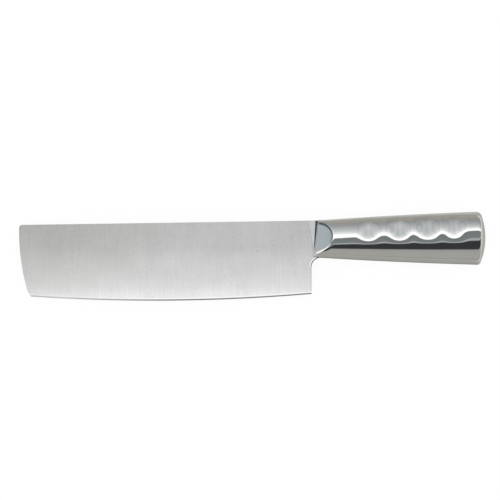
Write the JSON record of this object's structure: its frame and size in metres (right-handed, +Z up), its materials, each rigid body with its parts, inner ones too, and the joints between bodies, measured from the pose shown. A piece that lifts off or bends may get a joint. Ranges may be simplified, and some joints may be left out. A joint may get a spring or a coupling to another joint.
{
  "type": "chinese cleaver",
  "caption": "Narrow kitchen cleaver with a tall ground steel blade and a hollow steel handle with grip dents and a domed butt.",
  "frame": {"origin": "middle of the knife's bounding box at its lowest level, with the knife lying on its side", "axes": "+X runs along the handle from the blade's tip to the butt, +Y points from the cutting edge to the spine, +Z is up through the thickness"},
  "size_m": [0.3348, 0.064, 0.025],
  "materials": {
    "blade_steel": "satin, fine vertical grinding lines",
    "handle_steel": "polished",
    "weld_steel": "ground flush and polished"
  },
  "bodies": {
    "root": {"blade": "blade_steel", "bolster": "handle_steel", "handle_shell_right": "handle_steel", "handle_shell_left": "handle_steel", "butt_cap": "handle_steel", "blade_weld_right": "weld_steel", "blade_weld_left": "weld_steel", "seam_weld_top": "weld_steel", "seam_weld_bottom": "weld_steel", "cap_weld": "weld_steel"}
  },
  "joints": []
}
